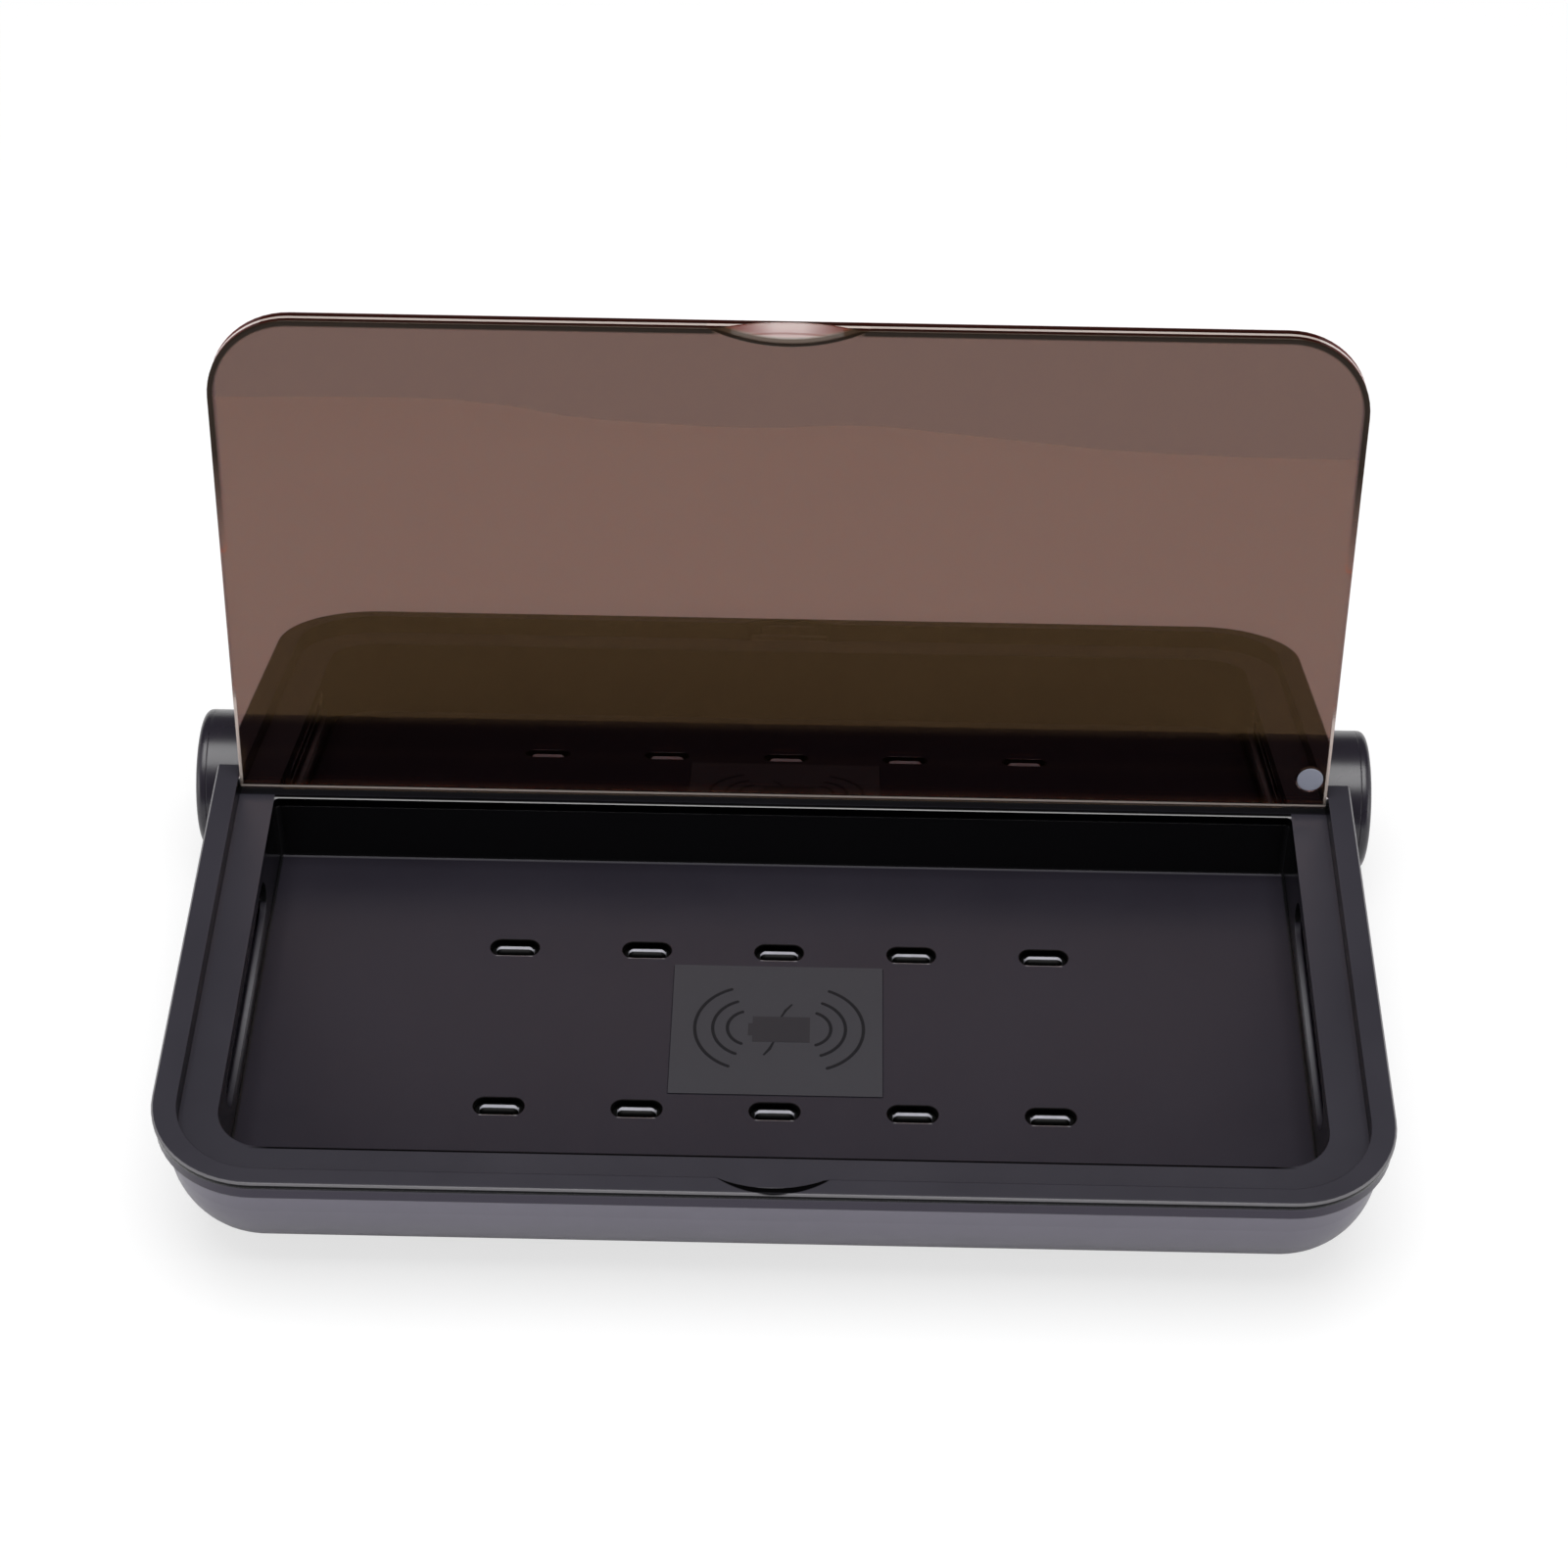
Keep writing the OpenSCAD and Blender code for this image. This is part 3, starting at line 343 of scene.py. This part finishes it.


# Each light slot has a black border of painted shade, with a painted highlight line on its front
# lip
x, y = from_slot(tree)
ring = length(tree, past(tree, x, SLOT_HALF), y)
rows = under(tree, away(tree, RIGHT), SLOT_PITCH * SLOT_COUNT / 2)
slot_shade = times(tree, rows, under(tree, ring, SLOT_R + SLOT_SHADE, 0.00008))
paint_light_and_shade(tray_mat, slot_shade, (0.004, 0.004, 0.004), 0.3, dark_metal=True)
lip_highlight = times(tree, rows, under(tree, x, LIP_HALF, 0.0002),
            between(tree, y, -SLOT_R - SLOT_SHADE, -SLOT_R - HAIR / 2, HAIR / 2))
paint_light_and_shade(tray_mat, lip_highlight, (0.22, 0.22, 0.235), 0.3)

# Behind the well painted shade makes the frame and tray black up to the lid, and a painted
# highlight makes a bright edge on the well
for mat in (tray_mat, frame_mat):
    tree = mat.node_tree
    y = along(tree, BACK)
    inner = times(tree, under(tree, away(tree, RIGHT), WELL_HALF),
                  over(tree, along(tree, UP), LEDGE_LOW))
    dark = times(tree, inner, over(tree, y, WELL_REAR + HAIR))
    paint_light_and_shade(mat, dark, (0.003, 0.003, 0.0035), 0.2)
    lip_highlight = times(tree, inner, between(tree, y, WELL_REAR - 0.0002, WELL_REAR + 0.0003))
    paint_light_and_shade(mat, lip_highlight, (0.3, 0.3, 0.3), 0.3)


# ---------------------------------------------------------------- frame, shell and barrel
# Painted shade makes the frame's upright faces and the well's front edge black, and a painted
# highlight makes the rim's bevel bright
tree = frame_mat.node_tree
paint_light_and_shade(frame_mat, under(tree, slope(tree, UP), 0.3, 0.05), SHADE_BLACK, 0.2, dark_metal=True)
bevel_highlight = times(tree, between(tree, slope(tree, UP), 0.45, 0.95, 0.03),
              over(tree, along(tree, UP), BEVEL_LOW))
paint_light_and_shade(frame_mat, bevel_highlight, (0.15, 0.145, 0.155), 0.3)
well_edge_shade = times(tree, between(tree, along(tree, BACK), WELL_FRONT - LINE, WELL_FRONT),
                  under(tree, away(tree, RIGHT), WELL_HALF - WELL_CORNER, 0.002))
paint_light_and_shade(frame_mat, well_edge_shade, SHADE_BLACK, 0.3, dark_metal=True)

# A painted shadow makes the finger notch black up to the rim's front edge
from_notch = length(tree, along(tree, RIGHT, NOTCH_MID), along(tree, BACK, NOTCH_MID))
notch_shadow = times(tree, under(tree, from_notch, NOTCH_R), under(tree, along(tree, BACK), NOTCH_REACH))
paint_light_and_shade(frame_mat, notch_shadow, SHADE_BLACK, 0.3, dark_metal=True)

# Painted shade darkens the shell's wall towards the table and darkens the band above it, and a
# painted highlight makes a light line along the band's top
tree = shell_mat.node_tree
height = along(tree, UP)
paint_light_and_shade(shell_mat, under(tree, height, 0.012, 0.014), (0.01, 0.009, 0.012), 0.36)
band_shade = over(tree, height, BAND_Z - BAND_H)
paint_light_and_shade(shell_mat, band_shade, (0.052, 0.047, 0.063), 0.36, dark_metal=True)
paint_light_and_shade(shell_mat, over(tree, height, BAND_Z - LINE), (0.06, 0.057, 0.07), 0.3)

# Painted shade makes the barrel's front a deeper black where it lies behind the tinted lid
tree = barrel_mat.node_tree
behind_lid_shade = times(tree, under(tree, away(tree, RIGHT), lid_hi.x),
               under(tree, slope(tree, BACK), -0.1, 0.1))
paint_light_and_shade(barrel_mat, behind_lid_shade, (0.012, 0.011, 0.0145), 0.3, dark_metal=True)


# ---------------------------------------------------------------- lid, light bars and lamps
def lid_highlights(tree, height, depth, across, edge):
    """The lid's painted highlight lines: round its edge, along its foot and up the ends of its
    sides.
    """
    line = times(tree, edge, between(tree, depth, *EDGE_LINE, 0.00008),
                 over(tree, height, EDGE_FOOT, 0.001))
    foot = between(tree, height, -FOOT_LINE, 0.0)
    side = times(tree, over(tree, across, lid_hi.x - SIDE_LINE),
                 between(tree, height, 0.0, SIDE_TOP, 0.002))
    inside = under(tree, depth, INNER_DEPTH)
    return either(tree, line, times(tree, either(tree, foot, side), inside))


def lid_shade_outline(tree, height, across):
    """A painted dark line of shade inside the lid's free edge, but not across the thumb scoop."""
    corner = length(tree, past(tree, across, lid_hi.x - LID_R), past(tree, height, LID_TOP - LID_R))
    return times(tree, over(tree, corner, LID_R - OUTLINE, 0.0002),
                 over(tree, height, OUTLINE_FOOT, 0.01),
                 flip(tree, under(tree, across, SCOOP_HALF, 0.001)))


def lid_material():
    """Tinted acrylic with a painted sheen on its thumb scoop, painted shade on its edges and
    painted highlight lines on them.
    """
    m, tree, bsdf = material("tinted_acrylic")
    bsdf.inputs["IOR"].default_value = 1.65
    bsdf.inputs["Specular Tint"].default_value = (1, 0.1, 0.03, 1)
    bsdf.inputs["Coat IOR"].default_value = 1.74
    bsdf.inputs["Coat Roughness"].default_value = 0.0
    edge = under(tree, calc(tree, "ABSOLUTE", slope(tree, LID_OUT)), 0.5, 0.02)
    depth = along(tree, LID_OUT, hinge)
    height = along(tree, LID_UP, hinge)
    across = away(tree, RIGHT)
    highlight_lines = lid_highlights(tree, height, depth, across, edge)

    # The scoop has a painted sheen in its middle, a paler colour over the coat's gloss, with a
    # faint line across, and both fade towards its ends
    from_scoop = length(tree, across, calc(tree, "SUBTRACT", SCOOP_MID, height))
    scoop = under(tree, from_scoop, SCOOP_R + 0.0006)
    fade = under(tree, across, SCOOP_LIT, SCOOP_FADE)
    seam = times(tree, between(tree, height, *SEAM, 0.00006), 0.45)
    scoop_sheen = times(tree, fade, fade, flip(tree, seam))
    scoop_edge_shade = times(tree, scoop, over(tree, from_scoop, SCOOP_R - 0.0007, 0.0002))
    # Painted shade: dark lines along the scoop's border, inside the free edge and on the lid's edge
    # faces
    dark = either(tree, scoop_edge_shade, lid_shade_outline(tree, height, across), edge)
    dark = times(tree, dark, flip(tree, highlight_lines))

    cloud = noise(tree, 6.0)
    tint = ramp(tree, cloud, [(0.3, (0.061, 0.033, 0.0155)), (0.7, (0.067, 0.036, 0.017))])
    # Painted sheen, painted shade and painted highlight colours over the tinted acrylic
    tint = mixed(tree, times(tree, scoop, scoop_sheen), tint, (0.12, 0.15, 0.13))
    tint = mixed(tree, dark, tint, (0.03, 0.018, 0.011))
    tint = mixed(tree, highlight_lines, tint, (0.52, 0.46, 0.42))
    unlit = either(tree, times(tree, scoop, flip(tree, scoop_sheen)), times(tree, dark, 0.85))
    rough = either(tree, times(tree, highlight_lines, 0.4), times(tree, either(tree, scoop, dark), 0.5))
    soft = rounding(tree, LID_ROUND)
    for name, source in (("Base Color", tint), ("Metallic", dark), ("Roughness", rough),
                         ("Transmission Weight", flip(tree, highlight_lines)),
                         ("Coat Weight", flip(tree, unlit)), ("Normal", soft),
                         ("Coat Normal", soft)):
        tree.links.new(source, bsdf.inputs[name])
    return m


def bar_material():
    """Clear bar, painted black as shade but for a painted highlight strip above its chip."""
    m, tree, bsdf = material("light_bar")
    tint = ramp(tree, noise(tree, 500.0), [(0.3, (0.36, 0.36, 0.4)), (0.7, (0.45, 0.45, 0.5))])
    x, y = from_slot(tree)
    bar_highlight = times(tree, under(tree, x, BAR_HALF), between(tree, y, BAR_LOW, BAR_HIGH))
    tree.links.new(mixed(tree, bar_highlight, (0.001, 0.001, 0.001), tint), bsdf.inputs["Base Color"])
    bsdf.inputs["Roughness"].default_value = 0.45
    bsdf.inputs["Specular IOR Level"].default_value = 0.1
    return m


def quartz_material():
    """Milky quartz of the lamp tubes."""
    m, tree, bsdf = material("quartz")
    tint = ramp(tree, noise(tree, 80.0), [(0.3, (0.3, 0.3, 0.36)), (0.7, (0.38, 0.38, 0.45))])
    tree.links.new(tint, bsdf.inputs["Base Color"])
    bsdf.inputs["Roughness"].default_value = 0.06
    bsdf.inputs["Coat Weight"].default_value = 1.0
    return m


LOOKS = (
    (shell_mat, "lower_shell"),
    (frame_mat, "top_frame"),
    (tray_mat, "tray"),
    (barrel_mat, "barrel_tube barrel_cap_left barrel_cap_right"),
    (pad_mat, "charge_pad"),
    (bar_material(), "light_bars"),
    (board_mat, "led_strips charger_board sensor_board main_board"),
    (led_mat, "led_chips"),
    (copper_mat, "charge_coil"),
    (chip_mat, "ferrite_sheet hall_sensor tact_switch lamp_driver board_parts usb_tongue"),
    (quartz_material(), "uv_lamp_left uv_lamp_right"),
    (steel_mat, "lamp_caps_left lamp_caps_right usb_shell base_screws barrel_screws"
                " hinge_pin_left hinge_pin_right"),
    (ceramic_mat, "lamp_holders_left lamp_holders_right"),
    (mirror_mat, "reflector_left reflector_right"),
    (button_mat, "power_button"),
    (rubber_mat, "foot_front_left foot_front_right foot_rear_left foot_rear_right"),
    (lid_material(), "lid_panel"),
    (magnet_reflection_mat, "lid_magnet"),
)
for mat, names in LOOKS:
    for name in names.split():
        slots = nodes[name].data.materials
        slots.clear()
        slots.append(mat)


# ---------------------------------------------------------------- pad pictogram
MARK_T = 0.00004            # half the thickness of the print
MARK_Z = (pad_hi.z - MARK_T, pad_hi.z + MARK_T)
pad_mid = (pad_lo + pad_hi) / 2

# The rest is in millimetres from the pad's middle, with angles in degrees
ARC_RADII, ARC_WIDTH = (4.2, 6.9, 10.2), 0.62
ARCS = (((-4.9, 0.35), 111, 248), ((5.7, 0.35), -69, 68))     # middle, start, end
CELL = [(-4.5, -3.0), (6.05, -3.0), (6.05, 3.2), (-4.5, 3.2)]
CELL_POLE = [(-5.3, -1.5), (-4.5, -1.5), (-4.5, 1.5), (-5.3, 1.5)]
BOLT_ABOVE = [(0.55, 3.2), (0.95, 3.2), (1.75, 4.7), (2.85, 6.3), (2.55, 6.45), (1.3, 4.95)]
BOLT_BELOW = [(-0.35, -3.0), (-0.75, -3.0), (-1.5, -4.6), (-2.5, -6.2), (-2.2, -6.35),
              (-1.0, -4.85)]


def prism(bm, outline):
    """Makes a thin plate from its outline."""
    low, high = [[bm.verts.new((pad_mid.x + x / 1000, pad_mid.y + y / 1000, z))
                  for x, y in outline] for z in MARK_Z]
    bm.faces.new(list(reversed(low)))
    bm.faces.new(high)
    n = len(outline)
    for i in range(n):
        bm.faces.new((low[i], low[(i + 1) % n], high[(i + 1) % n], high[i]))


def arc(mid, radius, start, end, steps=40, cap_steps=8):
    """Outline of a bowed stroke with round ends."""
    def at(angle, r, on=0.0):
        a = math.radians(angle)
        return (mid[0] + r * math.cos(a) - on * math.sin(a),
                mid[1] + r * math.sin(a) + on * math.cos(a))

    half = ARC_WIDTH / 2
    angles = [start + (end - start) * i / steps for i in range(steps + 1)]
    cap = [math.pi * i / cap_steps for i in range(1, cap_steps)]
    return ([at(a, radius + half) for a in angles]
            + [at(end, radius + half * math.cos(t), half * math.sin(t)) for t in cap]
            + [at(a, radius - half) for a in reversed(angles)]
            + [at(start, radius - half * math.cos(t), -half * math.sin(t)) for t in cap])


mesh = bpy.data.meshes.new("pad_mark")
bm = bmesh.new()
for radius in ARC_RADII:
    for mid, start, end in ARCS:
        prism(bm, arc(mid, radius, start, end))
strokes = len(bm.faces)
prism(bm, CELL)
prism(bm, CELL_POLE)
cell_faces = range(strokes, len(bm.faces))
prism(bm, BOLT_ABOVE)
prism(bm, BOLT_BELOW)
bmesh.ops.recalc_face_normals(bm, faces=bm.faces)
bm.to_mesh(mesh)
bm.free()
mark = bpy.data.objects.new("pad_mark", mesh)
bpy.context.scene.collection.objects.link(mark)
mesh.materials.append(mark_mat)
mesh.materials.append(cell_mat)
for face in mesh.polygons:
    if face.index in cell_faces:
        face.material_index = 1
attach(mark, "base")


# ---------------------------------------------------------------- stage
WORLD_LIGHT = 0.4     # the world's light on the object; where it is seen it is white
FLOOR_GLOW = 0.68     # the part of the floor's white that doesn't take the object's shadow
FLOOR_SHADE = 0.34    # the part that does
FLOOR_WHITE = 0.9     # the floor as it lights the object
GLOSS_WHITE = 0.86    # the floor near the object as reflections see it
DIM_GLOW = 0.08       # glow of the near floor in reflections, and of the dark flags
NEAR, FAR = 0.3, 0.6  # the floor's shadow fades out between these distances
FLOOR_REACH = 8.0
GROUND_Z = -0.0002    # just under the feet


def seen(tree):
    """1 for the rays that see the stage directly, in a reflection or through glass."""
    path = tree.nodes.new("ShaderNodeLightPath").outputs
    return either(tree, path["Is Camera Ray"], path["Is Glossy Ray"], path["Is Transmission Ray"])


def stage_mesh(name, outline):
    """A flat or folded strip: outline is a list of rows of corners."""
    mesh = bpy.data.meshes.new(name)
    b = bmesh.new()
    rows = [[b.verts.new(p) for p in row] for row in outline]
    for low, high in zip(rows, rows[1:]):
        for i in range(len(low) - 1):
            b.faces.new((low[i], low[i + 1], high[i + 1], high[i]))
    b.to_mesh(mesh)
    b.free()
    obj = bpy.data.objects.new(name, mesh)
    bpy.context.scene.collection.objects.link(obj)
    m = bpy.data.materials.new(name)
    m.use_nodes = True
    tree = m.node_tree
    tree.nodes.clear()
    mesh.materials.append(m)
    return obj, tree, tree.nodes.new("ShaderNodeOutputMaterial").inputs["Surface"]


def glow(tree, strength, colour=(1, 1, 1)):
    n = tree.nodes.new("ShaderNodeEmission")
    n.inputs["Strength"].default_value = strength
    n.inputs["Color"].default_value = (*colour, 1)
    return n.outputs[0]


def matt(tree, grey):
    n = tree.nodes.new("ShaderNodeBsdfDiffuse")
    n.inputs["Color"].default_value = (grey, grey, grey, 1)
    return n.outputs[0]


def glow_and_matt(tree, strength, grey):
    n = tree.nodes.new("ShaderNodeAddShader")
    tree.links.new(glow(tree, strength), n.inputs[0])
    tree.links.new(matt(tree, grey), n.inputs[1])
    return n.outputs[0]


def blend_shaders(tree, fac, a, b):
    n = tree.nodes.new("ShaderNodeMixShader")
    tree.links.new(fac, n.inputs["Fac"])
    tree.links.new(a, n.inputs[1])
    tree.links.new(b, n.inputs[2])
    return n.outputs[0]


def only_in_gloss(obj):
    """Leaves a card to reflections alone, like a studio flag outside the picture."""
    obj.visible_camera = False
    obj.visible_diffuse = False
    obj.visible_transmission = False
    obj.visible_shadow = False


_, tree, surface = stage_mesh("floor", [[(x, y, GROUND_Z) for x in (-FLOOR_REACH, FLOOR_REACH)]
                                        for y in (-FLOOR_REACH, FLOOR_REACH)])
shaded = glow_and_matt(tree, FLOOR_GLOW, FLOOR_SHADE)
lit = glow_and_matt(tree, DIM_GLOW, GLOSS_WHITE)
reach = tree.nodes.new("ShaderNodeVectorMath")
reach.operation = "LENGTH"
tree.links.new(tree.nodes.new("ShaderNodeTexCoord").outputs["Object"], reach.inputs[0])
fade = tree.nodes.new("ShaderNodeMapRange")
fade.inputs["From Min"].default_value = NEAR
fade.inputs["From Max"].default_value = FAR
tree.links.new(reach.outputs["Value"], fade.inputs["Value"])
path = tree.nodes.new("ShaderNodeLightPath")
near = blend_shaders(tree, path.outputs["Is Glossy Ray"], shaded, lit)
white = blend_shaders(tree, fade.outputs["Result"], near, glow(tree, 1.0))
tree.links.new(blend_shaders(tree, seen(tree), matt(tree, FLOOR_WHITE), white), surface)

# A cooler sheet in front of the box, whose wavy edge the open lid mirrors
SHEET_FRONT, SHEET_Z = -1.6, 0.0001
WAVE = [(-0.7, -0.3416), (-0.1734, -0.3416), (-0.1406, -0.3439), (-0.1205, -0.3446),
        (-0.1019, -0.3436), (-0.0845, -0.3373), (-0.0685, -0.3282), (-0.0572, -0.3245),
        (-0.0441, -0.3221), (-0.0274, -0.3196), (-0.0119, -0.319), (-0.0048, -0.3197),
        (0.0036, -0.3217), (0.0135, -0.3232), (0.0222, -0.3231), (0.0317, -0.3207),
        (0.0401, -0.3178), (0.0622, -0.3107), (0.084, -0.3035), (0.1058, -0.2997),
        (0.1249, -0.2977), (0.1586, -0.297), (0.7, -0.297)]
sheet, tree, surface = stage_mesh("sheet", [[(x, SHEET_FRONT, SHEET_Z) for x, y in WAVE],
                                            [(x, y, SHEET_Z) for x, y in WAVE]])
tree.links.new(glow(tree, 1.0, (0.85, 0.93, 0.99)), surface)
only_in_gloss(sheet)

# Dark flags behind and in front, which keep the gloss of the upper faces dark. They are bowed
# round the object between two angles, counted in degrees from the rear over the top
FLAG_R, FLAG_W, FLAG_STEP = 1.5, 2.0, 8
for name, low, high in (("flag_rear", 8, 72), ("flag_front", 122, 178)):
    rows = [math.radians(a) for a in range(low, high + 1, FLAG_STEP)]
    flag, tree, surface = stage_mesh(name, [[(x, FLAG_R * math.cos(a), FLAG_R * math.sin(a))
                                             for x in (-FLAG_W, FLAG_W)] for a in rows])
    tree.links.new(glow(tree, DIM_GLOW), surface)
    only_in_gloss(flag)

world = bpy.data.worlds.new("studio")
bpy.context.scene.world = world
world.use_nodes = True
tree = world.node_tree
plain = tree.nodes["Background"]
backdrop = tree.nodes.new("ShaderNodeBackground")
for n, strength in ((plain, WORLD_LIGHT), (backdrop, 1.0)):
    n.inputs["Strength"].default_value = strength
plain.inputs["Color"].default_value = (1, 1, 1, 1)
tree.links.new(blend_shaders(tree, seen(tree), plain.outputs[0], backdrop.outputs[0]),
               tree.nodes["World Output"].inputs["Surface"])


def area(name, loc, look, size, size_y, radiance):
    """A softbox of a given brightness, turned towards look."""
    data = bpy.data.lights.new(name, "AREA")
    data.shape = "RECTANGLE"
    data.size = size
    data.size_y = size_y
    data.energy = radiance * math.pi * size * size_y
    obj = bpy.data.objects.new(name, data)
    bpy.context.scene.collection.objects.link(obj)
    obj.location = loc
    obj.rotation_mode = "QUATERNION"
    obj.rotation_quaternion = (Vector(look) - Vector(loc)).to_track_quat("-Z", "Y")


# name, place, aim, width, height, radiance
area("softbox", (0.0, -0.08, 1.0), (0, -0.08, 0), 0.75, 0.72, 5.0)
for s in (-1, 1):
    area("side", (s * 0.9, -0.35, 0.2), (0, 0, 0.02), 0.6, 0.35, 1.6)

# ---------------------------------------------------------------- camera
SIDE = 1601                 # the picture's width and height in pixels
FOCAL_PX = 3549.254         # the lens's focal length in those pixels
SENSOR = 36.0               # millimetres
AZIMUTH, ROLL = -0.01218, 0.0108        # radians
PITCH = math.radians(43.83)             # down from the horizon
CAM_AT = Vector((0.006045, FRONT_Y - 0.37476, RIM_Z + 0.455857))

fwd = Vector((math.sin(AZIMUTH) * math.cos(PITCH), math.cos(AZIMUTH) * math.cos(PITCH),
              -math.sin(PITCH)))
right = Vector((math.cos(AZIMUTH), -math.sin(AZIMUTH), 0))
up = right.cross(fwd)
cam_x = right * math.cos(ROLL) + up * math.sin(ROLL)
cam_y = up * math.cos(ROLL) - right * math.sin(ROLL)
data = bpy.data.cameras.new("camera")
data.sensor_width = SENSOR
data.lens = FOCAL_PX / SIDE * SENSOR
data.clip_start, data.clip_end = 0.01, 50
cam = bpy.data.objects.new("camera", data)
bpy.context.scene.collection.objects.link(cam)
basis = Matrix((cam_x, cam_y, -fwd)).transposed().to_4x4()
basis.translation = CAM_AT
cam.matrix_world = basis
bpy.context.scene.camera = cam

bpy.context.scene.view_settings.view_transform = "Standard"
